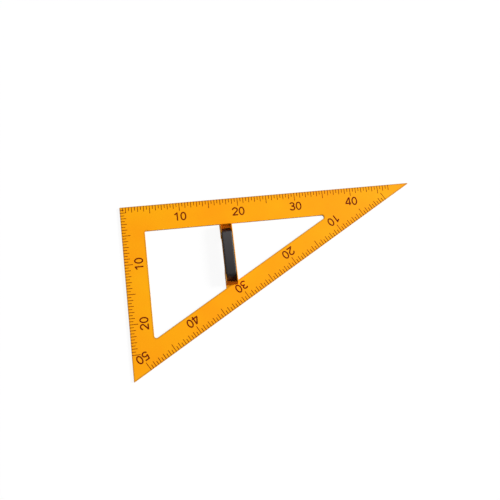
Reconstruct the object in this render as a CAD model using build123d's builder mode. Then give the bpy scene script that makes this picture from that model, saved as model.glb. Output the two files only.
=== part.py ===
from build123d import *
from math import cos, hypot, radians, tan
import os

# Large 30-60-90 set square for a classroom board, lying on its back with the printed face up.
# X runs along the long leg, Y along the short leg, Z out of the printed face.
# The origin is the middle of the outline on the back face. All lengths are millimetres.

# Plate
overall_length = 507.0
tip_angle = 30.0
tip_radius = 0.7
square_corner_radius = 1.2
plate_thickness = 4.0
edge_rounding = 0.5

# Limbs around the window
long_limb_width = 44.5
short_limb_width = 38.5
slope_limb_width = 37.0
window_square_radius = 1.5
window_sixty_radius = 4.0
window_thirty_radius = 3.7
lug_root_radius = 0.8

# Handle bridge, a channel open to the front; its heights are measured from the plate's printed face
handle_from_short_edge = 175.0
back_end_gap = 2.85
bridge_length = 103.6
bridge_width = 20.4
wall_thickness = 1.4
rim_setback = 1.2
rim_shoulder_radius = 3.0
rim_rounding = 0.5
rim_inner_rounding = 0.3
end_lip_height = 6.5
foot_length = 22.0
gap_height = 11.5
gap_lean = 6.5
gap_radius = 6.0
foot_floor = 2.0
arch_floor = 2.4
channel_ramp_run = 9.0
ramp_cover = 7.0
channel_ramp_foot_inset = foot_length - ramp_cover
channel_corner_radius = 1.0

# Hand grip, a hollow shell let into the channel
grip_inset = 5.8
grip_slope_run = 10.6
grip_length = bridge_length - 2 * grip_inset
grip_flat_length = grip_length - 2 * grip_slope_run
grip_rise = 6.5
grip_proud = 3.0
grip_ridge_radius = 2.0
grip_shoulder_radius = 2.0
grip_skin = 2.0
grip_skirt = 1.6
side_clearance = 0.3
rib_thickness = 1.5
rib_spacing = 10.0

# Screws: four hold the bridge's feet to the plate, two hold the grip in the bridge
foot_screw_cover = 4.25
foot_screw_inset = foot_length - foot_screw_cover
foot_screw_spacing = 7.2
foot_screw_length = 10.0
foot_boss_radius = 2.8
foot_boss_height = 6.9
grip_screw_spacing = 36.0
grip_screw_length = 6.4
grip_boss_radius = 3.2
screw_core_radius = 1.25
screw_head_radius = 2.8
screw_head_height = 1.6
screw_point = 1.5
pilot_clearance = 0.1
point_clearance = 0.3
hole_clearance = 0.35
sink_angle = 90.0
half_turn = 180.0

overrun = 5.0

# Outline of the plate, corner to corner before the tips are rounded
slope = tan(radians(tip_angle))
tip_loss = tip_radius * (1 / tan(radians(tip_angle / 2)) - 1)
foot_loss = tip_radius * (1 / slope - 1)
long_leg = overall_length + tip_loss
short_leg = long_leg * slope
overall_width = short_leg - foot_loss
left = -overall_length / 2
back = overall_width / 2
square_corner = (left, back)
thirty_corner = (left + long_leg, back)
sixty_corner = (left, back - short_leg)

# Window, the outline moved inwards by the width of each limb
slope_rise = slope_limb_width / cos(radians(tip_angle))
window_left = left + short_limb_width
window_back = back - long_limb_width
window_square = (window_left, window_back)
window_sixty = (window_left, back - short_leg + short_limb_width * slope + slope_rise)
window_thirty = (left + (window_back - slope_rise - back + short_leg) / slope, window_back)

# Handle: its middle, its half lengths along Y and its levels
handle_x = left + handle_from_short_edge
handle_y = window_back - back_end_gap - bridge_length / 2
middle_floor = gap_height + arch_floor
grip_top = middle_floor + grip_rise
rim_height = grip_top - grip_proud
bridge_half = bridge_length / 2
foot_half = bridge_half - foot_length
channel_half = bridge_half - wall_thickness
channel_width = bridge_width - 2 * wall_thickness
mouth_width = channel_width + 2 * rim_inner_rounding
round_level = rim_height - rim_inner_rounding
ramp_foot = bridge_half - channel_ramp_foot_inset
ramp_top = ramp_foot - channel_ramp_run
grip_half = grip_length / 2
grip_flat_half = grip_flat_length / 2
grip_width = channel_width - 2 * side_clearance
grip_foot = foot_floor + side_clearance
inside_top = grip_top - grip_skin
inside_width = grip_width - 2 * grip_skirt
front_lug_end = handle_y - foot_half
back_lug_end = handle_y + foot_half
foot_screw_y = bridge_half - foot_screw_inset

handle_origin = (handle_x, handle_y, plate_thickness)
handle_side = Plane(origin=handle_origin, x_dir=(0, 1, 0), z_dir=(1, 0, 0))
handle_end = Plane(origin=handle_origin, x_dir=(1, 0, 0), z_dir=(0, -1, 0))

foot_screw_places = [
    (handle_x + across * foot_screw_spacing / 2, handle_y + along * foot_screw_y)
    for across in (-1, 1)
    for along in (-1, 1)
]
grip_screw_places = [(handle_x, handle_y + along * grip_screw_spacing / 2) for along in (-1, 1)]


def both_ends(half):
    """Close a side outline that is the same at both ends of the handle."""
    return half + [(-along, up) for along, up in reversed(half)]


def screw_outline(length):
    """Half section of a countersunk screw: flat head at the bottom, plain core, pointed end."""
    return [
        (0, 0),
        (screw_head_radius, 0),
        (screw_core_radius, screw_head_height),
        (screw_core_radius, length - screw_point),
        (0, length),
    ]


def seen_from_below(places, level):
    """Places on a downward-facing surface, for holes that are sunk from below."""
    return [Location((x, y, level), (half_turn, 0, 0)) for x, y in places]


# Plate with its window; two lugs reach into the window under the feet of the handle.
# The printed face has rounded edges; the back is the mould's parting face and stays sharp.
with BuildPart() as triangle_frame:
    with BuildSketch() as outline:
        with BuildLine():
            Polyline(square_corner, thirty_corner, sixty_corner, close=True)
        make_face()
        fillet(outline.vertices().sort_by_distance(thirty_corner)[0], tip_radius)
        fillet(outline.vertices().sort_by_distance(sixty_corner)[0], tip_radius)
        fillet(outline.vertices().sort_by_distance(square_corner)[0], square_corner_radius)
    extrude(amount=plate_thickness)
    with BuildSketch() as window:
        with BuildLine():
            Polyline(window_square, window_thirty, window_sixty, close=True)
        make_face()
        fillet(window.vertices().sort_by_distance(window_square)[0], window_square_radius)
        fillet(window.vertices().sort_by_distance(window_thirty)[0], window_thirty_radius)
        fillet(window.vertices().sort_by_distance(window_sixty)[0], window_sixty_radius)
        back_lug_length = foot_length + overrun
        with Locations((handle_x, back_lug_end)):
            Rectangle(bridge_width, back_lug_length, align=(Align.CENTER, Align.MIN), mode=Mode.SUBTRACT)
        with Locations((handle_x, front_lug_end)):
            Rectangle(bridge_width, overall_width, align=(Align.CENTER, Align.MAX), mode=Mode.SUBTRACT)
        lug_sides = [handle_x - bridge_width / 2, handle_x + bridge_width / 2]
        for side in lug_sides:
            fillet(window.vertices().filter_by_position(Axis.X, side, side), lug_root_radius)
    extrude(amount=plate_thickness + overrun, mode=Mode.SUBTRACT)
    fillet(triangle_frame.faces().sort_by(Axis.Z)[-1].edges(), edge_rounding)
    with Locations(seen_from_below(foot_screw_places, 0)):
        CounterSinkHole(
            screw_core_radius + hole_clearance,
            screw_head_radius + pilot_clearance,
            depth=plate_thickness + overrun,
            counter_sink_angle=sink_angle,
        )

# Bridge: tall side walls, an arched underside for the fingers and a channel open to the front
with BuildPart() as handle_bridge:
    with BuildSketch(handle_side) as bridge_side:
        with BuildLine():
            Polyline(
                both_ends(
                    [
                        (bridge_half - rim_setback, rim_height),
                        (bridge_half, end_lip_height),
                        (bridge_half, 0),
                        (foot_half, 0),
                        (foot_half - gap_lean, gap_height),
                    ]
                ),
                close=True,
            )
        make_face()
        fillet(bridge_side.vertices().group_by(Axis.Y)[-1], rim_shoulder_radius)
        fillet(bridge_side.vertices().filter_by_position(Axis.Y, gap_height, gap_height), gap_radius)
    extrude(amount=bridge_width / 2, both=True)
    with BuildSketch(handle_side) as channel:
        with BuildLine():
            Polyline(
                both_ends(
                    [
                        (channel_half, rim_height + overrun),
                        (channel_half, foot_floor),
                        (ramp_foot, foot_floor),
                        (ramp_top, middle_floor),
                    ]
                ),
                close=True,
            )
        make_face()
        fillet(channel.vertices().group_by(Axis.Y)[0], channel_corner_radius)
    extrude(amount=channel_width / 2, both=True, mode=Mode.SUBTRACT)
    flanks = handle_bridge.faces().filter_by(Axis.X).group_by(Axis.X)
    outer_edges = (flanks[0] + flanks[-1]).edges()
    sole_edges = outer_edges.filter_by_position(Axis.Z, plate_thickness, plate_thickness)
    fillet(outer_edges - sole_edges, rim_rounding)
    with BuildSketch(handle_end) as mouth:
        with Locations((0, round_level)):
            Rectangle(mouth_width, rim_inner_rounding + overrun, align=(Align.CENTER, Align.MIN))
        with Locations([(side * mouth_width / 2, round_level) for side in (-1, 1)]):
            Circle(rim_inner_rounding, mode=Mode.SUBTRACT)
    extrude(amount=channel_half, both=True, mode=Mode.SUBTRACT)
    with BuildSketch(Plane.XY.offset(plate_thickness)):
        with Locations(foot_screw_places):
            Circle(foot_boss_radius)
    extrude(amount=foot_boss_height)
    with Locations(seen_from_below(foot_screw_places, plate_thickness)):
        pilot_depth = foot_screw_length - plate_thickness + point_clearance
        Hole(screw_core_radius + pilot_clearance, depth=pilot_depth)
    with Locations(seen_from_below(grip_screw_places, plate_thickness + gap_height)):
        CounterSinkHole(
            screw_core_radius + hole_clearance,
            screw_head_radius + pilot_clearance,
            depth=middle_floor - gap_height,
            counter_sink_angle=sink_angle,
        )

# Grip: a shell with sloping ends and rounded shoulders, ribbed inside;
# it stands on the channel's middle floor
ramp_share = (grip_half - grip_flat_half) / (grip_top - grip_foot)
skin_along = grip_skin * hypot(1, ramp_share)
with BuildPart() as handle_grip:
    with BuildSketch(handle_side) as grip_side:
        with BuildLine():
            Polyline(both_ends([(grip_flat_half, grip_top), (grip_half, grip_foot)]), close=True)
        make_face()
        fillet(grip_side.vertices().group_by(Axis.Y)[-1], grip_ridge_radius)
    extrude(amount=grip_width / 2, both=True)
    cheek_edges = handle_grip.faces().filter_by(Axis.X).edges()
    bottom_level = plate_thickness + grip_foot
    bottom_edges = cheek_edges.filter_by_position(Axis.Z, bottom_level, bottom_level)
    fillet(cheek_edges - bottom_edges, grip_shoulder_radius)
    with BuildSketch(handle_side) as floor_hump:
        with BuildLine():
            hump_top = (ramp_top + side_clearance, middle_floor)
            hump_foot = (ramp_foot + side_clearance, grip_foot)
            Polyline(both_ends([hump_top, hump_foot]), close=True)
        make_face()
    extrude(amount=grip_width, both=True, mode=Mode.SUBTRACT)
    with BuildSketch(handle_side) as inside:
        with BuildLine():
            Polyline(
                both_ends(
                    [
                        (grip_flat_half - skin_along + (grip_top - inside_top) * ramp_share, inside_top),
                        (grip_half - skin_along, grip_foot),
                        (grip_half - skin_along, 0),
                    ]
                ),
                close=True,
            )
        make_face()
    extrude(amount=inside_width / 2, both=True, mode=Mode.SUBTRACT)
    with BuildSketch(Plane.XY.offset(plate_thickness + middle_floor)):
        with Locations([(handle_x, handle_y + step * rib_spacing) for step in (-1, 0, 1)]):
            Rectangle(inside_width + grip_skirt, rib_thickness)
        with Locations(grip_screw_places):
            Circle(grip_boss_radius)
    extrude(amount=inside_top + grip_skin / 2 - middle_floor)
    with Locations(seen_from_below(grip_screw_places, plate_thickness + middle_floor)):
        pilot_depth = grip_screw_length - middle_floor + gap_height + point_clearance
        Hole(screw_core_radius + pilot_clearance, depth=pilot_depth)

# Countersunk screws, heads down
with BuildPart() as foot_screws:
    for x, y in foot_screw_places:
        with BuildSketch(Plane(origin=(x, y, 0), x_dir=(1, 0, 0), z_dir=(0, -1, 0))):
            with BuildLine():
                Polyline(screw_outline(foot_screw_length), close=True)
            make_face()
        revolve(axis=Axis((x, y, 0), (0, 0, 1)))

with BuildPart() as grip_screws:
    for x, y in grip_screw_places:
        floor = plate_thickness + gap_height
        with BuildSketch(Plane(origin=(x, y, floor), x_dir=(1, 0, 0), z_dir=(0, -1, 0))):
            with BuildLine():
                Polyline(screw_outline(grip_screw_length), close=True)
            make_face()
        revolve(axis=Axis((x, y, floor), (0, 0, 1)))

os.makedirs("parts", exist_ok=True)
pieces = {
    "triangle_frame": triangle_frame,
    "handle_bridge": handle_bridge,
    "handle_grip": handle_grip,
    "foot_screws": foot_screws,
    "grip_screws": grip_screws,
}
for name, piece in pieces.items():
    piece.part.label = name
    export_step(piece.part, f"parts/{name}.step")
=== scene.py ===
# %% [markdown]
# # A board set square, dressed for the camera
# A large orange 30-60-90 triangle for a classroom board lies on its back, with its printed face up. The
# plate, the bridge handle and the black grip arrive as finished solids. This lesson gives them their
# plastics, prints the centimetre scales on the plate, cuts threads and cross recesses for the screws, and
# then sets up a plain studio. Lengths are typed in millimetres and turned to metres where Blender reads
# them. Only the floor's width and the lamp are typed in metres.

import bpy
import numpy as np
from mathutils import Matrix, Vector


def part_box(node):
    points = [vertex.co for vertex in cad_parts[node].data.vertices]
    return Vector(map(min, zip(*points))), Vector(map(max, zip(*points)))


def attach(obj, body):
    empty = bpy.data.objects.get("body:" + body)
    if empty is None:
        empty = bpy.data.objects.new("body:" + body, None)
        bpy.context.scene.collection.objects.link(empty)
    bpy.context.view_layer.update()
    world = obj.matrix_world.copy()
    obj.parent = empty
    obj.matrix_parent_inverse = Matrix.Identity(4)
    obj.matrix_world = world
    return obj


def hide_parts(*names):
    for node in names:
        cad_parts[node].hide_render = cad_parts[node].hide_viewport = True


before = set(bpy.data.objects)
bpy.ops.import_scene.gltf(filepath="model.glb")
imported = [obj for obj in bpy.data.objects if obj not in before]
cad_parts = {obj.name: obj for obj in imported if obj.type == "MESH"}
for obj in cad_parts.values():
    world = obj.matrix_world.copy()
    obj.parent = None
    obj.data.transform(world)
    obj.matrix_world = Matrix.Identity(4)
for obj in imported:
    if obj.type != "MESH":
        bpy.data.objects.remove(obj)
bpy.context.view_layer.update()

MM = 0.001
plate_low, plate_high = (np.array(corner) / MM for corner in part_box("triangle_frame"))
bridge_low, bridge_high = (np.array(corner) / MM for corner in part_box("handle_bridge"))
print("plate, mm:", plate_low.round(2), "to", plate_high.round(2))
print("bridge, mm:", bridge_low.round(2), "to", bridge_high.round(2))

# %% [markdown]
# ## Helpers for every finish
# Colours are easiest to read as the hex values of a paint chart, but the renderer works with linear light.
# The sRGB curve has a short straight toe and then a power of 2.4, so one function undoes both. Another adds
# a shader node: its options, its fixed values, its incoming links and, on a colour ramp, its stops. Every
# finish below is written with it. The last two start an empty material and turn the size of a pattern into
# a scale.

# %% Colour and node helpers
def linear(hex_colour):
    """sRGB hex to linear RGBA: v / 12.92 in the toe, ((v + 0.055) / 1.055) ** 2.4 above it."""
    v = np.array([int(hex_colour[i : i + 2], 16) for i in (1, 3, 5)]) / 255
    rgb = np.where(v <= 0.04045, v / 12.92, ((v + 0.055) / 1.055) ** 2.4)
    return (*rgb.tolist(), 1.0)


def add(tree, kind, options=None, values=None, links=None, stops=None):
    """Add one node: options by name, values and links by socket, a ramp's colours by rising position."""
    node = tree.nodes.new(kind)
    for name, value in (options or {}).items():
        setattr(node, name, value)
    for socket, value in (values or {}).items():
        node.inputs[socket].default_value = value
    for socket, source in (links or {}).items():
        tree.links.new(source, node.inputs[socket])
    for count, (position, colour) in enumerate((stops or {}).items()):
        ramp = node.color_ramp.elements
        stop = ramp[count] if count < len(ramp) else ramp.new(position)
        stop.position, stop.color = position, linear(colour)
    return node


def blank(name):
    """A new material with an empty node tree."""
    material = bpy.data.materials.new(name)
    material.use_nodes = True
    material.node_tree.nodes.clear()
    return material, material.node_tree


def per_metre(size_mm):
    """Noise scale that gives features of about this size: one over the size in metres."""
    return 1 / (size_mm * MM)


print("mid grey in linear light:", np.round(linear("#808080"), 3))

# %% [markdown]
# ## The plate's outline
# Both the finish of the plate and the print on it follow its edges, so the three edges are laid out first.
# Each is told by a point on it, the way into the plate and the width of its limb, from the edge to the
# window. The plate's corners come from the solid's box. The sharp corner where two edges would meet lies
# just outside the rounded tip.

# %% Lay out the edges
TIP_ANGLE = np.radians(30)
TIP_ROUNDING_LOSS = 1.91

square_corner = np.array([plate_low[0], plate_high[1]])
thirty_corner = np.array([plate_high[0] + TIP_ROUNDING_LOSS, plate_high[1]])
down_slope = -np.array([np.cos(TIP_ANGLE), np.sin(TIP_ANGLE)])
into_slope = np.array([-np.sin(TIP_ANGLE), np.cos(TIP_ANGLE)])

edges = {
    "long_edge": dict(corner=square_corner, inward=np.array([0, -1.0]), limb=44.5),
    "slope": dict(corner=thirty_corner, inward=into_slope, limb=37.0),
    "short_edge": dict(corner=square_corner, inward=np.array([1.0, 0]), limb=38.5),
}


def corners_at(depths):
    """Corners of the triangle with sides at depths inside the edges: n . p = n . corner + depth, by pairs."""
    normals = np.array([edge["inward"] for edge in edges.values()])
    levels = np.sum(normals * [edge["corner"] for edge in edges.values()], axis=1) + depths
    pairs = np.array([[0, 1], [1, 2], [2, 0]])
    return np.linalg.solve(normals[pairs], levels[pairs][..., None])[..., 0]


limbs = np.array([edge["limb"] for edge in edges.values()])
print("outline:", corners_at(0).round(1).tolist())
print("window:", corners_at(limbs).round(1).tolist())

# %% [markdown]
# ## The orange plastic
# The plate and the bridge are injection-moulded polystyrene, coloured right through and taken from a
# lightly blasted mould. That gives a satin skin: one even orange with a broad soft highlight, a little
# cloudiness where the melt flowed, and faint rub marks from being slid along a board ruler. A plain colour
# would look like paper, so three noises do the work: a hand-wide one for the melt, a stretched one for the
# rub marks in the gloss, and a fine one for the mould's grain.

# %% Moulded orange polystyrene
MELT_SIZE = 90
MELT_TONES = {0.3: "#FFA000", 0.7: "#FFAD00"}

orange_plastic, tree = blank("moulded_orange_polystyrene")
place = add(tree, "ShaderNodeTexCoord").outputs["Object"]
melt = add(
    tree, "ShaderNodeTexNoise",
    values={"Scale": per_metre(MELT_SIZE), "Detail": 3.0, "Roughness": 0.55},
    links={"Vector": place},
)
shade = add(tree, "ShaderNodeValToRGB", links={"Fac": melt.outputs["Fac"]}, stops=MELT_TONES)
print("finish:", orange_plastic.name)

# %% [markdown]
# A brown line of painted shade darkens the plate along its edges and fades out on the printed face. So the
# finish needs the distance to the nearest edge. The edges are straight sides, and the nearest point of a
# side is found by going along it by the dot product, but not past its ends.

# %% Distance to one side
def distance_to_side(tree, spot, start, side):
    """Length of p - t side, where p = spot - start and t = p . side / side . side, held between 0 and 1."""
    from_start = add(
        tree, "ShaderNodeVectorMath", options={"operation": "SUBTRACT"},
        values={1: (*start * MM, 0.0)},
        links={0: spot},
    )
    share = add(
        tree, "ShaderNodeVectorMath", options={"operation": "DOT_PRODUCT"},
        values={1: (*side / (side @ side * MM), 0.0)},
        links={0: from_start.outputs[0]},
    )
    on_side = add(tree, "ShaderNodeClamp", links={"Value": share.outputs["Value"]})
    foot = add(
        tree, "ShaderNodeVectorMath", options={"operation": "SCALE"},
        values={0: (*side * MM, 0.0)},
        links={"Scale": on_side.outputs[0]},
    )
    away = add(
        tree, "ShaderNodeVectorMath", options={"operation": "DISTANCE"},
        links={0: from_start.outputs[0], 1: foot.outputs[0]},
    )
    return away.outputs["Value"]


flat_place = add(
    tree, "ShaderNodeVectorMath", options={"operation": "MULTIPLY"},
    values={1: (1.0, 1.0, 0.0)},
    links={0: place},
).outputs[0]
print("distances are measured in the plane of the plate")

# %% [markdown]
# There are two outlines. The plate's is three straight sides. The window's corners are round: it is
# everything within one radius of a smaller triangle, so the radius is taken off the distance to that one.
# One radius for its three corners is near enough. The window's long side, the last of its three, gets no
# painted shade.

# %% Distance to the shaded edges
WINDOW_RADIUS = 3.7
outlines = {
    "plate": dict(depths=0, radius=0.0, shaded_sides=3),
    "window": dict(depths=limbs + WINDOW_RADIUS, radius=WINDOW_RADIUS, shaded_sides=2),
}

distances = []
for name, outline in outlines.items():
    nearest = None
    corners = corners_at(outline["depths"])
    sides = np.roll(corners, -1, axis=0) - corners
    for start, side in zip(corners[: outline["shaded_sides"]], sides):
        away = distance_to_side(tree, flat_place, start, side)
        links = {0: nearest or away, 1: away}
        nearest = add(tree, "ShaderNodeMath", options={"operation": "MINIMUM"}, links=links).outputs[0]
    beyond = add(
        tree, "ShaderNodeMath", options={"operation": "SUBTRACT"},
        values={1: outline["radius"] * MM},
        links={0: nearest},
    )
    links = {0: beyond.outputs[0]}
    distances.append(add(tree, "ShaderNodeMath", options={"operation": "ABSOLUTE"}, links=links).outputs[0])
    # the painted edge shade runs along this many sides of the outline
    print(name, "gathers grime on", outline["shaded_sides"], "sides")
to_edge = add(tree, "ShaderNodeMath", options={"operation": "MINIMUM"}, links=dict(enumerate(distances)))

# %% [markdown]
# The painted shade is full up to a short way from the edge and then fades. It belongs to the rounded edge
# of the printed face, so only what lies near the level of that face counts.

# %% Painted shade along the edges
EDGE_SHADE_CORE = 0.7
EDGE_SHADE_REACH = 2.6
EDGE_SHADE_STRENGTH = 0.5

edge_shade_fade = add(
    tree, "ShaderNodeMapRange",
    values={"From Min": EDGE_SHADE_REACH * MM, "From Max": EDGE_SHADE_CORE * MM, "To Max": EDGE_SHADE_STRENGTH},
    links={"Value": to_edge.outputs[0]},
)
where = add(tree, "ShaderNodeSeparateXYZ", links={"Vector": place}).outputs
on_face = add(
    tree, "ShaderNodeMath", options={"operation": "COMPARE"},
    values={1: plate_high[2] * MM, 2: EDGE_SHADE_CORE * MM},
    links={0: where["Z"]},
)
painted_edge_shade = add(
    tree, "ShaderNodeMath", options={"operation": "MULTIPLY"},
    links={0: edge_shade_fade.outputs["Result"], 1: on_face.outputs[0]},
)
# painted shade: the plate's orange is pulled towards a dark brown along its edges
edge_shaded = add(
    tree, "ShaderNodeMix", options={"data_type": "RGBA"},
    values={7: linear("#89610C")},
    links={0: painted_edge_shade.outputs[0], 6: shade.outputs["Color"]},
)
print("grime fades out", EDGE_SHADE_REACH, "mm from an edge")

# %% [markdown]
# Painted shade darkens the open pocket at the bridge's lower end, between the grip and the end wall,
# towards a deep red-brown. The distance from the bridge's middle says where that is, and the shade counts
# only above the plate and between the channel's side walls.

# %% Painted shade in the bridge's lower pocket
POCKET_SHADE_REACH = 6.0
POCKET_SHADE_CORE = 2.5
POCKET_SHADE_STRENGTH = 0.75
BRIDGE_WALL = 1.4
FACE_MARGIN = 0.05

bridge_middle = (bridge_low + bridge_high) / 2
bridge_half = (bridge_high - bridge_low) / 2
from_middle = add(
    tree, "ShaderNodeVectorMath", options={"operation": "SUBTRACT"},
    values={1: bridge_middle * MM},
    links={0: place},
)
from_middle = add(tree, "ShaderNodeSeparateXYZ", links={"Vector": from_middle.outputs[0]}).outputs
pocket_shade_fade = add(
    tree, "ShaderNodeMapRange",
    values={
        "From Min": (POCKET_SHADE_REACH - bridge_half[1]) * MM,
        "From Max": (POCKET_SHADE_CORE - bridge_half[1]) * MM,
        "To Max": POCKET_SHADE_STRENGTH,
    },
    links={"Value": from_middle["Y"]},
)
aside = add(tree, "ShaderNodeMath", options={"operation": "ABSOLUTE"}, links={0: from_middle["X"]})
in_channel = add(
    tree, "ShaderNodeMapRange",
    values={"From Min": bridge_half[0] * MM, "From Max": (bridge_half[0] - BRIDGE_WALL) * MM},
    links={"Value": aside.outputs[0]},
)
above_plate = add(
    tree, "ShaderNodeMath", options={"operation": "GREATER_THAN"},
    values={1: (plate_high[2] + FACE_MARGIN) * MM},
    links={0: where["Z"]},
)
kept_pocket_shade = pocket_shade_fade
for limit in (in_channel, above_plate):
    links = {0: kept_pocket_shade.outputs[0], 1: limit.outputs[0]}
    kept_pocket_shade = add(tree, "ShaderNodeMath", options={"operation": "MULTIPLY"}, links=links)
# painted shade: the pocket's orange is pulled towards a deep red-brown
pocket_shaded = add(
    tree, "ShaderNodeMix", options={"data_type": "RGBA"},
    values={7: linear("#A03000")},
    links={0: kept_pocket_shade.outputs[0], 6: edge_shaded.outputs[2]},
)
print("bridge ends at", round(bridge_half[1], 2), "mm from its middle")

# %% [markdown]
# Painted shade darkens the handle's left rim, which lies in the grip's shadow: most on its top, fading out
# down the outside of the wall. Both fades go from no shade to full shade. One is told in millimetres from
# the bridge's left side, the other in millimetres down from its top.

# %% Painted shade on the left rim
RIM_SHADE_STRENGTH = 0.55
RIM_FADE = (2.4, 1.5)
RIM_DROP = (9.0, 1.5)

outward = add(
    tree, "ShaderNodeMapRange",
    values={
        "From Min": (RIM_FADE[0] - bridge_half[0]) * MM,
        "From Max": (RIM_FADE[1] - bridge_half[0]) * MM,
        "To Max": RIM_SHADE_STRENGTH,
    },
    links={"Value": from_middle["X"]},
)
upward = add(
    tree, "ShaderNodeMapRange",
    values={
        "From Min": (bridge_high[2] - RIM_DROP[0]) * MM,
        "From Max": (bridge_high[2] - RIM_DROP[1]) * MM,
    },
    links={"Value": where["Z"]},
)
rim_shade = add(
    tree, "ShaderNodeMath", options={"operation": "MULTIPLY"},
    links={0: outward.outputs["Result"], 1: upward.outputs["Result"]},
)
# painted shade: the left rim is pulled towards a dark grey-brown
rim_shaded = add(
    tree, "ShaderNodeMix", options={"data_type": "RGBA"},
    values={7: linear("#3A2E26")},
    links={0: rim_shade.outputs[0], 6: pocket_shaded.outputs[2]},
)
# prints how far the painted shade reaches down the left wall
print("painted rim shade reach", RIM_DROP[0], "mm down the left wall")

# %% [markdown]
# Now the skin itself. Rub marks run along the long edge, long and narrow, and change the gloss a little.
# The mould's grain is a bump of a few hundredths of a millimetre. The real grain is about 0.1 mm wide, too
# fine to show, so it is drawn coarser.

# %% Gloss and grain of the orange plastic
RUB_LENGTH = 40
RUB_WIDTH = 1.5
GRAIN_SIZE = 0.5
GRAIN_DEPTH = 0.02

stretch = add(
    tree, "ShaderNodeMapping",
    values={"Scale": (per_metre(RUB_LENGTH), per_metre(RUB_WIDTH), per_metre(RUB_WIDTH))},
    links={"Vector": place},
)
rubs = add(
    tree, "ShaderNodeTexNoise",
    values={"Scale": 1.0, "Detail": 2.0},
    links={"Vector": stretch.outputs["Vector"]},
)
gloss = add(
    tree, "ShaderNodeMapRange",
    values={"From Min": 0.3, "From Max": 0.7, "To Min": 0.53, "To Max": 0.57},
    links={"Value": rubs.outputs["Fac"]},
)
grain = add(
    tree, "ShaderNodeTexNoise",
    values={"Scale": per_metre(GRAIN_SIZE), "Detail": 1.0},
    links={"Vector": place},
)
skin = add(
    tree, "ShaderNodeBump",
    values={"Strength": 0.12, "Distance": GRAIN_DEPTH * MM},
    links={"Height": grain.outputs["Fac"]},
)
plastic = add(
    tree, "ShaderNodeBsdfPrincipled",
    values={"IOR": 1.55, "Specular IOR Level": 0.12},
    links={
        "Base Color": rim_shaded.outputs[2],
        "Roughness": gloss.outputs["Result"],
        "Normal": skin.outputs["Normal"],
    },
)
add(tree, "ShaderNodeOutputMaterial", links={"Surface": plastic.outputs["BSDF"]})
print(len(tree.nodes), "nodes in", orange_plastic.name)

# %% [markdown]
# ## The black grip
# The grip is black ABS, and its colour carries painted light and shade along it: a red-brown painted shade
# on its lower end, painted shade that darkens its lower part, a painted grey sheen on its top, and painted
# shade that keeps the upper slope black. So the colour depends on the distance from the lower end, with a
# little noise mixed in. The noise is one half on average, and the places of the tones allow for
# that.

# %% Painted shade and sheen along the grip
# painted light and shade, in mm from the lower end: brown shade, dark shade, grey sheen, black shade
GRIP_SHADE_AND_SHEEN_TONES = {1.5: "#5A3A22", 7.0: "#272526", 79.5: "#454243", 83.0: "#1E1D1E"}
WOBBLE_SIZE = 25
WOBBLE_SHARE = 0.12
WOBBLE_AVERAGE = 0.5

grip_low, grip_high = (np.array(corner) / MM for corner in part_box("handle_grip"))
grip_length = grip_high[1] - grip_low[1]
grip_plastic, tree = blank("spark_eroded_black_abs")
place = add(tree, "ShaderNodeTexCoord").outputs["Object"]
where = add(tree, "ShaderNodeSeparateXYZ", links={"Vector": place}).outputs
along_grip = add(
    tree, "ShaderNodeMapRange",
    values={"From Min": grip_low[1] * MM, "From Max": grip_high[1] * MM},
    links={"Value": where["Y"]},
)
tone_wobble = add(
    tree, "ShaderNodeTexNoise",
    values={"Scale": per_metre(WOBBLE_SIZE), "Detail": 2.0},
    links={"Vector": place},
)
mottled = add(
    tree, "ShaderNodeMix",
    values={0: WOBBLE_SHARE},
    links={2: along_grip.outputs["Result"], 3: tone_wobble.outputs["Fac"]},
)
grip_shade_stops = {
    from_end / grip_length * (1 - WOBBLE_SHARE) + WOBBLE_AVERAGE * WOBBLE_SHARE: tone
    for from_end, tone in GRIP_SHADE_AND_SHEEN_TONES.items()
}
shade = add(tree, "ShaderNodeValToRGB", links={"Fac": mottled.outputs[0]}, stops=grip_shade_stops)
print("tones at", np.round(list(grip_shade_stops), 3), "along the grip of", round(grip_length, 2), "mm")

# %% [markdown]
# The grip's mould was spark-eroded. That leaves an even, pebbled grain so that a hand doesn't slip; the
# dark grey of its top is the painted sheen in its tones. A smooth pattern of cells has such round bumps of
# about one size. The real pebbles are about 0.3 mm across, drawn here at 0.7 mm so that they show.

# %% Spark-eroded black ABS
PEBBLE_SIZE = 0.7
PEBBLE_DEPTH = 0.05

pebbles = add(
    tree, "ShaderNodeTexVoronoi", options={"feature": "SMOOTH_F1"},
    values={"Scale": per_metre(PEBBLE_SIZE), "Smoothness": 0.6},
    links={"Vector": place},
)
pebbled = add(
    tree, "ShaderNodeBump",
    values={"Strength": 0.35, "Distance": PEBBLE_DEPTH * MM},
    links={"Height": pebbles.outputs["Distance"]},
)
plastic = add(
    tree, "ShaderNodeBsdfPrincipled",
    values={"Roughness": 0.48, "IOR": 1.54, "Specular IOR Level": 0.25},
    links={"Base Color": shade.outputs["Color"], "Normal": pebbled.outputs["Normal"]},
)
add(tree, "ShaderNodeOutputMaterial", links={"Surface": plastic.outputs["BSDF"]})
print("finish:", grip_plastic.name)

# %% [markdown]
# ## The screws' steel
# The screws are cold-headed steel with a thin zinc plate: a bright, slightly cloudy metal. One noise makes
# the clouds in both the colour and the gloss, because on zinc the paler spots are also the duller ones.

# %% Zinc-plated steel
BLOOM_SIZE = 1.2
STEEL_TONES = {0.0: "#B9BCC0", 1.0: "#D9DBDD"}

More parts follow.
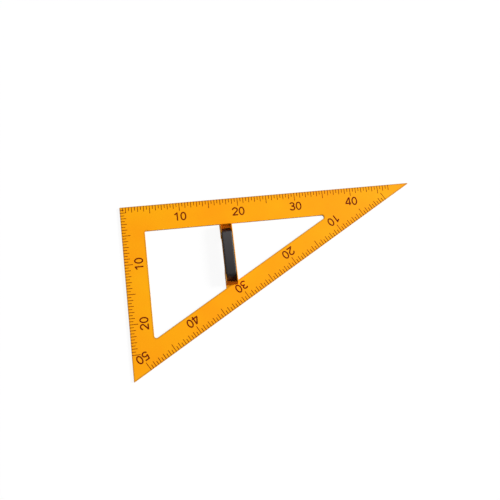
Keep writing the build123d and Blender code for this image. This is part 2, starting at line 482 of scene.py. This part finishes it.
screw_steel, tree = blank("zinc_plated_steel")
place = add(tree, "ShaderNodeTexCoord").outputs["Object"]
bloom = add(
    tree, "ShaderNodeTexNoise",
    values={"Scale": per_metre(BLOOM_SIZE), "Detail": 3.0},
    links={"Vector": place},
)
shade = add(tree, "ShaderNodeValToRGB", links={"Fac": bloom.outputs["Fac"]}, stops=STEEL_TONES)
gloss = add(
    tree, "ShaderNodeMapRange",
    values={"To Min": 0.22, "To Max": 0.42},
    links={"Value": bloom.outputs["Fac"]},
)
metal = add(
    tree, "ShaderNodeBsdfPrincipled",
    values={"Metallic": 1.0},
    links={"Base Color": shade.outputs["Color"], "Roughness": gloss.outputs["Result"]},
)
add(tree, "ShaderNodeOutputMaterial", links={"Surface": metal.outputs["BSDF"]})
print("finish:", screw_steel.name)

# %% [markdown]
# ## The printing ink
# The ink is a dark red-brown screen-printing ink. A screen lays down an even film about 0.03 mm thick that
# lets a trace of the orange through where it is thin, so its brown wanders a little.

# %% Screen-printing ink
COVER_SIZE = 3
INK_TONES = {0.35: "#661000", 0.75: "#7E1A00"}

brown_ink, tree = blank("screen_printed_brown_ink")
place = add(tree, "ShaderNodeTexCoord").outputs["Object"]
cover = add(
    tree, "ShaderNodeTexNoise",
    values={"Scale": per_metre(COVER_SIZE), "Detail": 3.0},
    links={"Vector": place},
)
shade = add(tree, "ShaderNodeValToRGB", links={"Fac": cover.outputs["Fac"]}, stops=INK_TONES)
film = add(
    tree, "ShaderNodeBsdfPrincipled",
    values={"Roughness": 0.6, "IOR": 1.5, "Specular IOR Level": 0.07},
    links={"Base Color": shade.outputs["Color"]},
)
add(tree, "ShaderNodeOutputMaterial", links={"Surface": film.outputs["BSDF"]})
print("finish:", brown_ink.name)

# %% [markdown]
# ## Put the finishes on the solids
# The solids keep their shapes. Only the material in each slot changes.

# %% Finish the plate, bridge and grip
finishes = {
    "triangle_frame": orange_plastic,
    "handle_bridge": orange_plastic,
    "handle_grip": grip_plastic,
}
for node, finish in finishes.items():
    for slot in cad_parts[node].material_slots:
        slot.material = finish
    print(node, "is", finish.name)

# %% [markdown]
# ## A helper for new pieces
# Everything that follows is worked out with numpy as arrays of points and of corner numbers, then handed to
# one function that makes the mesh, names its finish and fixes it to the tool. Points come in millimetres.

# %% Make a piece
def make_piece(name, points, faces, finish):
    """Mesh from points (n, 3) in mm and faces, lists of corner numbers; it rides on the tool."""
    mesh = bpy.data.meshes.new(name)
    mesh.from_pydata((points * MM).tolist(), [], faces)
    mesh.materials.append(finish)
    mesh.validate()
    piece = bpy.data.objects.new(name, mesh)
    bpy.context.scene.collection.objects.link(piece)
    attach(piece, "root")
    print(name, len(mesh.polygons), "faces")
    return piece


# %% [markdown]
# ## Where the scales run
# Each outer edge carries a centimetre scale. A scale is told by where its zero is, the way it runs along
# the edge, the way into the plate and the numbers of its marks. Both legs start at the right angle. The
# slope's scale starts a little way in from the 30 degree tip and runs down to the 60 degree tip, so its
# figures are upside down to someone who reads the long leg.

# %% Lay out the three scales
MARK_STEP = 5.0
SLOPE_ZERO = 53.8

slope_start = thirty_corner + SLOPE_ZERO * down_slope
scales = {
    "long_edge": dict(zero=square_corner, along=np.array([1.0, 0]), numbers=np.arange(1, 95)),
    "short_edge": dict(zero=square_corner, along=np.array([0, -1.0]), numbers=np.arange(1, 51)),
    "slope": dict(zero=slope_start, along=down_slope, numbers=np.arange(0, 101)),
}
for name, scale in scales.items():
    scale["inward"] = edges[name]["inward"]
    print(name, "zero at", scale["zero"].round(1), "last mark at", scale["numbers"][-1] * MARK_STEP, "mm")

# %% [markdown]
# ## Strips of ink
# Marks and figures are both strips of ink with four corners at each of a few stations: left and right, at
# the bottom and at the top of the film. The film stands 0.03 mm over the plate and sinks as far into it, so
# that no light gets under it. Where two strips cross, the later one lies on the earlier: two faces in one
# plane would shade each other and render black.

# %% Faces of a strip
FILM = 0.03
FILM_STEP = 0.01
STRIP_SIDES = np.array([-1, 1, 1, -1]) / 2
STRIP_LEVELS = np.array([-1, -1, 1, 1])


def strip_faces(stations, ring=False):
    """Faces of one closed strip: four sides between stations, and two ends unless it closes into a ring."""
    row = np.arange(stations if ring else stations - 1)[:, None]
    after = (row + 1) % stations
    k = np.arange(4)
    turn = (k + 1) % 4
    sides = np.stack([4 * row + k, 4 * row + turn, 4 * after + turn, 4 * after + k], axis=2).reshape(-1, 4)
    return sides if ring else np.concatenate([sides, [k[::-1]], [4 * stations - 4 + k]])


print("a strip with two stations has", len(strip_faces(2)), "faces")

# %% [markdown]
# ## The marks
# There is a mark every 5 mm. Half centimetres are short, centimetres are longer, and every fifth centimetre
# is longest. A mark starts on the plate's rounded edge and runs inwards, with stations that follow the
# quarter circle of the edge and then the flat. All the marks of an edge are one array of places times the
# corners of a strip, so nothing has to be looped.

# %% Print the marks
MARK_WIDTH = 1.07
MARK_LENGTHS = {"half": 7.2, "whole": 10.2, "fifth": 14.6}
MARKS_PER_CM = 2
MARKS_PER_FIFTH = 10
EDGE_ROUNDING = 0.5
EDGE_DEPTHS = np.array([0.1, 0.2, 0.34, 0.5])
face_level = plate_high[2]


def marks(zero, along, inward, numbers, film):
    """Strips at zero + n steps along. At depth d < r the face is r - sqrt(r^2 - (r - d)^2) below its flat."""
    whole_or_half = np.where(numbers % MARKS_PER_CM == 0, MARK_LENGTHS["whole"], MARK_LENGTHS["half"])
    length = np.where(numbers % MARKS_PER_FIFTH == 0, MARK_LENGTHS["fifth"], whole_or_half)
    depth = np.column_stack([np.tile(EDGE_DEPTHS, (len(numbers), 1)), length])
    short_of_flat = np.clip(EDGE_ROUNDING - depth, 0, None)
    surface = face_level - EDGE_ROUNDING + np.sqrt(EDGE_ROUNDING**2 - short_of_flat**2)
    side = numbers[:, None, None] * MARK_STEP + STRIP_SIDES * MARK_WIDTH
    flat = zero + side[..., None] * along + depth[:, :, None, None] * inward
    level = surface[:, :, None] + STRIP_LEVELS * film
    points = np.concatenate([flat, level[..., None]], axis=3).reshape(-1, 3)
    stations = depth.shape[1]
    first = 4 * stations * np.arange(len(numbers))[:, None, None]
    faces = (strip_faces(stations) + first).reshape(-1, 4)
    left_handed = along[0] * inward[1] - along[1] * inward[0] > 0
    return points, faces[:, ::-1] if left_handed else faces


for layer, (name, scale) in enumerate(scales.items()):
    points, faces = marks(**scale, film=FILM + layer * FILM_STEP)
    make_piece(f"{name}_marks", points, faces.tolist(), brown_ink)

# %% [markdown]
# ## The figures
# The figures are plain upright numerals with a stroke of even width, the kind found on any ruler. They
# could be set as text, but a stroke that follows a path says more about how such numerals are drawn: each
# one is a few straight lines and parts of ellipses, in units of its own height.

# %% Pen paths
BOW_STEP = 9


def line(start, end):
    """Straight stroke from start to end."""
    return np.array([start, end], dtype=float)


def bow(middle, half_width, half_height, turn_from, turn_to):
    """Part of an ellipse: middle + (half width cos a, half height sin a), a between two turns in degrees."""
    a = np.radians(np.linspace(turn_from, turn_to, 2 + int(abs(turn_to - turn_from) / BOW_STEP)))
    return np.array(middle) + np.stack([half_width * np.cos(a), half_height * np.sin(a)], axis=1)


pen_paths = {
    "0": [bow((0.395, 0.49), 0.275, 0.445, 90, 450)],
    "1": [line((0.45, 0.0), (0.45, 1.0)), line((0.14, 0.73), (0.43, 0.90))],
    "2": [
        np.concatenate([bow((0.385, 0.69), 0.275, 0.245, 185, -38), line((0.55, 0.48), (0.14, 0.10))]),
        line((0.04, 0.065), (0.72, 0.065)),
    ],
    "3": [
        bow((0.375, 0.735), 0.245, 0.2, 160, -90),
        bow((0.385, 0.28), 0.28, 0.235, 90, -165),
        line((0.29, 0.525), (0.42, 0.525)),
    ],
    "4": [
        line((0.56, 0.0), (0.56, 1.0)),
        line((0.52, 0.95), (0.09, 0.29)),
        line((0.03, 0.24), (0.74, 0.24)),
    ],
    "5": [
        line((0.125, 0.935), (0.69, 0.935)),
        line((0.20, 0.94), (0.13, 0.45)),
        bow((0.375, 0.305), 0.285, 0.255, 150, -165),
    ],
}
print("numerals drawn:", ", ".join(pen_paths))

# %% [markdown]
# The pen's path is moved half a stroke to each side, at the bottom and at the top of the ink film, which
# gives a thin closed strip. A path that ends where it starts, as in a 0, closes into a ring.

# %% Ink ribbons
FIGURE_STROKE_SHARE = 0.155


def ribbon(path):
    """Strip along a path: points moved half a stroke left and right of the way ahead, at levels -1 and 1."""
    ring = np.allclose(path[0], path[-1])
    path = path[:-1] if ring else path
    ahead = np.roll(path, -1, 0) - np.roll(path, 1, 0) if ring else np.gradient(path, axis=0)
    ahead = ahead / np.linalg.norm(ahead, axis=1, keepdims=True)
    to_left = np.stack([-ahead[:, 1], ahead[:, 0]], axis=1) * FIGURE_STROKE_SHARE
    flat = path[:, None, :] - STRIP_SIDES[:, None] * to_left[:, None, :]
    level = np.broadcast_to(STRIP_LEVELS, flat.shape[:2])
    points = np.concatenate([flat, level[..., None]], axis=2).reshape(-1, 3)
    return points, strip_faces(len(path), ring)[:, ::-1]


points, faces = ribbon(pen_paths["2"][0])
print("the bow of a 2 has", len(points), "points and", len(faces), "faces")

# %% [markdown]
# A figure is set centred on its mark, one digit on each side of it, with its top towards the edge that it
# belongs to. So its upright is the way out of the plate, and its reading direction is that upright turned a
# quarter to the right. Each stroke of a numeral lies a hair higher than the one before, as crossing marks
# do.

# %% Set the figures
CM = 10
FIGURE_EVERY = 10
FIGURE_HEIGHT = 14.4
FIGURE_ADVANCE_SHARE = 0.775
FIGURE_MIDDLE = 24.2


def figures(zero, along, inward, numbers):
    """All two-digit figures of an edge: points = middle + reading x + upright y, in figure heights."""
    upright = -inward
    reading = np.array([upright[1], -upright[0]])
    all_points, all_faces, start = [], [], 0
    for figure in range(FIGURE_EVERY, numbers[-1] // MARKS_PER_CM + 1, FIGURE_EVERY):
        middle = zero + CM * figure * along + FIGURE_MIDDLE * inward
        for index, digit in enumerate(str(figure)):
            for layer, path in enumerate(pen_paths[digit]):
                points, faces = ribbon(path)
                x = (points[:, 0] + (index - 1) * FIGURE_ADVANCE_SHARE) * FIGURE_HEIGHT
                y = (points[:, 1] - 0.5) * FIGURE_HEIGHT
                flat = middle + x[:, None] * reading + y[:, None] * upright
                level = face_level + points[:, 2] * (FILM + layer * FILM_STEP)
                all_points.append(np.column_stack([flat, level]))
                all_faces.append(faces + start)
                start += len(points)
    return np.concatenate(all_points), np.concatenate(all_faces)


for name, scale in scales.items():
    points, faces = figures(**scale)
    make_piece(f"{name}_figures", points, faces.tolist(), brown_ink)

# %% [markdown]
# ## The screws
# Four countersunk screws come in from the back of the plate and two from under the arch. The solids stand
# for them as plain cores. On the real thing the head has a cross recess and the core carries a coarse
# thread for plastic. Both fit one idea, a surface of revolution whose height or radius also depends on the
# angle. The recess is a dip in the head's face where the smaller of |x| and |y| is small. Flanks and ends
# are pairs of values between which a wall rises smoothly.

# %% Face of a screw's head
AROUND = 64
FACE_RINGS = 30
FACE_START = 0.06
HEAD_RADIUS = 2.8
RECESS_DEPTH = 1.1
RECESS_WIDTH = 0.85
RECESS_FLANK_SHARES = (0.35, 0.6)
RECESS_ENDS = (0.8, 1.65)
turn = np.linspace(0, 2 * np.pi, AROUND, endpoint=False)


def step(value, low, high):
    """Smooth step from 0 at low to 1 at high: 3t^2 - 2t^3."""
    t = np.clip((value - low) / (high - low), 0, 1)
    return t * t * (3 - 2 * t)


def screw_face():
    """Rings out over the head's face, which looks down at z = 0: height = recess depth x dip."""
    radius = np.linspace(FACE_START, HEAD_RADIUS, FACE_RINGS)[:, None]
    x, y = radius * np.cos(turn), radius * np.sin(turn)
    small, large = np.minimum(abs(x), abs(y)), np.maximum(abs(x), abs(y))
    dip = (1 - step(small / RECESS_WIDTH, *RECESS_FLANK_SHARES)) * (1 - step(large, *RECESS_ENDS))
    return np.stack([x, y, RECESS_DEPTH * dip], axis=2)


print("deepest ring of the recess, mm:", screw_face()[..., 2].max().round(3))

# %% [markdown]
# The core goes from the cone of the head up to a point. Its thread is a ridge that climbs one pitch per
# turn: the height in pitches less the angle in turns is the same all along the ridge. The groove beside it
# starts after the cone and reaches its full depth a little further up.

# %% Core of a screw
CORE_RINGS = 96
CORE_START = 0.03
TIP_MARGIN = 0.02
HEAD_HEIGHT = 1.6
CORE_RADIUS = 1.25
POINT_LENGTH = 1.5
THREAD_PITCH = 1.15
THREAD_DEPTH = 0.27
THREAD_FLANKS = (0.15, 0.6)
THREAD_RUN_IN = 0.6
FOOT_SCREW_LENGTH = 10.0
GRIP_SCREW_LENGTH = 6.4


def screw_core(length):
    """Rings up the cone and the core to the point: radius = (cone - thread depth x groove) x taper."""
    z = np.linspace(CORE_START, length - TIP_MARGIN, CORE_RINGS)[:, None]
    cone = HEAD_RADIUS - (HEAD_RADIUS - CORE_RADIUS) * np.clip(z / HEAD_HEIGHT, 0, 1)
    taper = np.clip((length - z) / POINT_LENGTH, 0, 1)
    climb = np.abs((z / THREAD_PITCH - turn / (2 * np.pi)) % 1 - 0.5) * 2
    groove = step(climb, *THREAD_FLANKS) * step(z, HEAD_HEIGHT, HEAD_HEIGHT + THREAD_RUN_IN)
    radius = (cone - THREAD_DEPTH * groove) * taper
    return np.stack([radius * np.cos(turn), radius * np.sin(turn), z + 0 * turn], axis=2)


for length in (FOOT_SCREW_LENGTH, GRIP_SCREW_LENGTH):
    print("a screw", length, "mm long has about", round((length - HEAD_HEIGHT) / THREAD_PITCH, 1), "turns")

# %% [markdown]
# The rings are joined by four-sided faces that wrap round, and each end is closed by a fan of triangles to
# one point. The screws of a group share one mesh, as the solids do, and stand in for them. Their places are
# read from the solids' own boxes, which end one head's radius beyond the outer screws.

# %% Set the screws
SHARP_ANGLE = np.radians(40)


def screw_group(name, node, length, places):
    """Copies of one screw at (x, y) places, with heads at the node's lowest level."""
    rings = np.concatenate([screw_face(), screw_core(length)])
    ends = np.array([[0, 0, RECESS_DEPTH], [0, 0, length]])
    count = rings.shape[0] * AROUND
    row = AROUND * np.arange(rings.shape[0] - 1)[:, None]
    around = np.arange(AROUND)
    ahead = (around + 1) % AROUND
    quads = np.stack([row + around, row + ahead, row + AROUND + ahead, row + AROUND + around], axis=2)
    foot = np.stack([np.full(AROUND, count), ahead, around], axis=1)
    tip = np.stack([np.full(AROUND, count + 1), count - AROUND + around, count - AROUND + ahead], axis=1)
    one = np.concatenate([rings.reshape(-1, 3), ends])
    stands = np.column_stack([places, np.full(len(places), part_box(node)[0][2] / MM)])
    points = (stands[:, None, :] + one).reshape(-1, 3)
    first = len(one) * np.arange(len(places))[:, None, None]
    fans = np.concatenate([foot, tip])
    faces = (quads.reshape(-1, 4) + first).reshape(-1, 4).tolist() + (fans + first).reshape(-1, 3).tolist()
    piece = make_piece(name, points, faces, screw_steel)
    piece.data.polygons.foreach_set("use_smooth", np.ones(len(piece.data.polygons), dtype=bool))
    piece.data.set_sharp_from_angle(angle=SHARP_ANGLE)
    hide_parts(node)


foot_low, foot_high = (np.array(corner)[:2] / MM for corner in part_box("foot_screws"))
foot_outer = np.array([foot_low + HEAD_RADIUS, foot_high - HEAD_RADIUS])
foot_places = [(x, y) for x in foot_outer[:, 0] for y in foot_outer[:, 1]]
arch_low, arch_high = (np.array(corner)[:2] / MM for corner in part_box("grip_screws"))
arch_outer = np.array([arch_low + HEAD_RADIUS, arch_high - HEAD_RADIUS])
arch_places = [(arch_outer[:, 0].mean(), y) for y in arch_outer[:, 1]]
screw_group("cross_head_foot_screws", "foot_screws", FOOT_SCREW_LENGTH, foot_places)
screw_group("cross_head_grip_screws", "grip_screws", GRIP_SCREW_LENGTH, arch_places)

# %% [markdown]
# ## The floor
# The tool lies on a white sheet in a white room, the way a catalogue shows it. The sheet is one large
# square, a fifth of a millimetre under the tool's flat back, so that the two never share a plane.

# %% White sheet
FLOOR_SIZE = 40.0
FLOOR_LEVEL = -0.2

floor_corners = np.array([[-1, -1, 0], [1, -1, 0], [1, 1, 0], [-1, 1, 0]]) * FLOOR_SIZE / 2
sheet = bpy.data.meshes.new("white_sheet")
sheet.from_pydata((floor_corners + [0, 0, FLOOR_LEVEL * MM]).tolist(), [], [[0, 1, 2, 3]])
floor = bpy.data.objects.new("white_sheet", sheet)
bpy.context.scene.collection.objects.link(floor)
print("floor", FLOOR_SIZE, "m wide at", FLOOR_LEVEL, "mm")

# %% [markdown]
# A sheet that is lit to white would need far more light than the tool, so the camera, mirrors and glass see
# the sheet with most of its white already in it, and only the rest comes from the lamps. That rest is what
# a shadow takes away, so the shadow stays. Bounced light meets a grey table top instead: a sheet that is
# cut out round the tool throws no light up into the handle, whose shaded side is dark in the photograph.

# %% White paper
WHITE_ALREADY = 0.925


def seen_directly(tree):
    """1 where the camera, a mirror or glass looks and 0 for bounced light: the largest of three ray flags."""
    rays = add(tree, "ShaderNodeLightPath").outputs
    seen = rays["Is Camera Ray"]
    for kind_of_ray in ("Is Glossy Ray", "Is Transmission Ray"):
        links = {0: seen, 1: rays[kind_of_ray]}
        seen = add(tree, "ShaderNodeMath", options={"operation": "MAXIMUM"}, links=links).outputs[0]
    return seen


white_paper, tree = blank("white_paper_sheet")
table_top = add(tree, "ShaderNodeBsdfDiffuse", values={"Color": linear("#4C4C4C")})
rest_of_white = add(tree, "ShaderNodeBsdfDiffuse", values={"Color": linear("#525252")})
glow = add(tree, "ShaderNodeEmission", values={"Strength": WHITE_ALREADY})
paper = add(tree, "ShaderNodeAddShader", links={0: rest_of_white.outputs[0], 1: glow.outputs[0]})
mix = add(
    tree, "ShaderNodeMixShader",
    links={0: seen_directly(tree), 1: table_top.outputs[0], 2: paper.outputs[0]},
)
add(tree, "ShaderNodeOutputMaterial", links={"Surface": mix.outputs[0]})
sheet.materials.append(white_paper)
print("finish:", white_paper.name)

# %% [markdown]
# ## The room
# The room gives a fill that is brightest overhead and leans to the lamp's side and to the front. So upright
# walls are darker than the flat plate, and those that face left or back are darkest. A fill that grows with
# height gives a flat surface two thirds of what an even one gives, which the fill's strength makes up. What
# shiny things see is white walls under a dimmer ceiling, so the plate mirrors little white and keeps its
# full orange.

# %% White room
ROOM_SHARE = 0.32
FILL_LEAN = (0.35, -0.45, 1.0)
FILL_MAKE_UP = 3 / 2
ROOM_TONES = {0.3: "#FAFAFA", 0.7: "#8C8C8C"}

world = bpy.data.worlds.new("white_room")
bpy.context.scene.world = world
world.use_nodes = True
tree = world.node_tree
tree.nodes.clear()
look = add(tree, "ShaderNodeTexCoord").outputs["Generated"]
height = add(tree, "ShaderNodeSeparateXYZ", links={"Vector": look}).outputs["Z"]
walls_to_ceiling = add(tree, "ShaderNodeValToRGB", links={"Fac": height}, stops=ROOM_TONES)
leaning = add(
    tree, "ShaderNodeVectorMath", options={"operation": "DOT_PRODUCT"},
    values={1: FILL_LEAN},
    links={0: look},
)
overhead = add(
    tree, "ShaderNodeMath", options={"operation": "MAXIMUM"},
    values={1: 0.0},
    links={0: leaning.outputs["Value"]},
)
fill = add(
    tree, "ShaderNodeBackground",
    values={"Strength": FILL_MAKE_UP * ROOM_SHARE},
    links={"Color": overhead.outputs[0]},
)
white = add(tree, "ShaderNodeBackground", links={"Color": walls_to_ceiling.outputs["Color"]})
mix = add(
    tree, "ShaderNodeMixShader",
    links={0: seen_directly(tree), 1: fill.outputs[0], 2: white.outputs[0]},
)
add(tree, "ShaderNodeOutputWorld", links={"Surface": mix.outputs[0]})
print(len(tree.nodes), "nodes in", world.name)

# %% [markdown]
# ## The lamp
# One large soft lamp stands low on the right, as the bright right-hand rim and the shaded left-hand side of
# the handle show. It is far enough away to light half a metre of plate evenly. Its power follows from the
# wanted share of light: a lamp of power P at distance d gives P / (pi d^2) on a surface that faces it, and
# a white surface sends back that over pi. The plate lies at a slant to the lamp, so it needs more.

# %% Soft lamp
LAMP_SHARE = 0.72
LAMP_WIDTH = 2.8
LAMP_PLACE = np.array([6.9, 0.3, 5.0])


def aim(obj, place, target, roll_degrees=0.0):
    """Stand obj at place and point its -Z at target, with +Y of the world up, then roll it clockwise."""
    ahead = np.subtract(target, place) / np.linalg.norm(np.subtract(target, place))
    up = np.array([0.0, 1.0, 0.0]) - ahead[1] * ahead
    up /= np.linalg.norm(up)
    right = np.cross(ahead, up)
    roll = np.radians(roll_degrees)
    up, right = up * np.cos(roll) + right * np.sin(roll), right * np.cos(roll) - up * np.sin(roll)
    obj.matrix_world = Matrix(np.vstack([np.column_stack([right, up, -ahead, place]), [0, 0, 0, 1]]))


lamp_distance = np.linalg.norm(LAMP_PLACE)
lamp_slant = LAMP_PLACE[2] / lamp_distance
lamp = bpy.data.lights.new("soft_lamp", "AREA")
lamp.shape = "DISK"
lamp.size = LAMP_WIDTH
lamp.energy = LAMP_SHARE * np.pi**2 * lamp_distance**2 / lamp_slant
lamp_object = bpy.data.objects.new("soft_lamp", lamp)
bpy.context.scene.collection.objects.link(lamp_object)
aim(lamp_object, LAMP_PLACE, (0, 0, 0))
print("lamp power", round(lamp.energy, 1), "W at", round(lamp_distance, 2), "m")

# %% [markdown]
# ## The camera
# The photograph looks almost straight down from about a metre, a little from the lower left, with the tool
# turned so that its long edge climbs to the right. The camera stands where the tool's own centimetre marks
# say that it stood. The picture was cropped off centre, which a small lens shift repeats.

# %% Camera
CAMERA_PLACE = np.array([-146.45, -166.85, 999.17])
CAMERA_TARGET = np.array([-30.91, -4.12, 4.0])
CAMERA_ROLL = 6.93

camera = bpy.data.cameras.new("camera")
camera.sensor_width = 36.0
camera.lens = 43.2
camera.shift_x = -0.0201
camera.shift_y = 0.0636
camera_object = bpy.data.objects.new("camera", camera)
bpy.context.scene.collection.objects.link(camera_object)
aim(camera_object, CAMERA_PLACE * MM, CAMERA_TARGET * MM, CAMERA_ROLL)
bpy.context.scene.camera = camera_object
bpy.context.scene.view_settings.view_transform = "Standard"
print("camera", np.round(camera_object.location, 3))
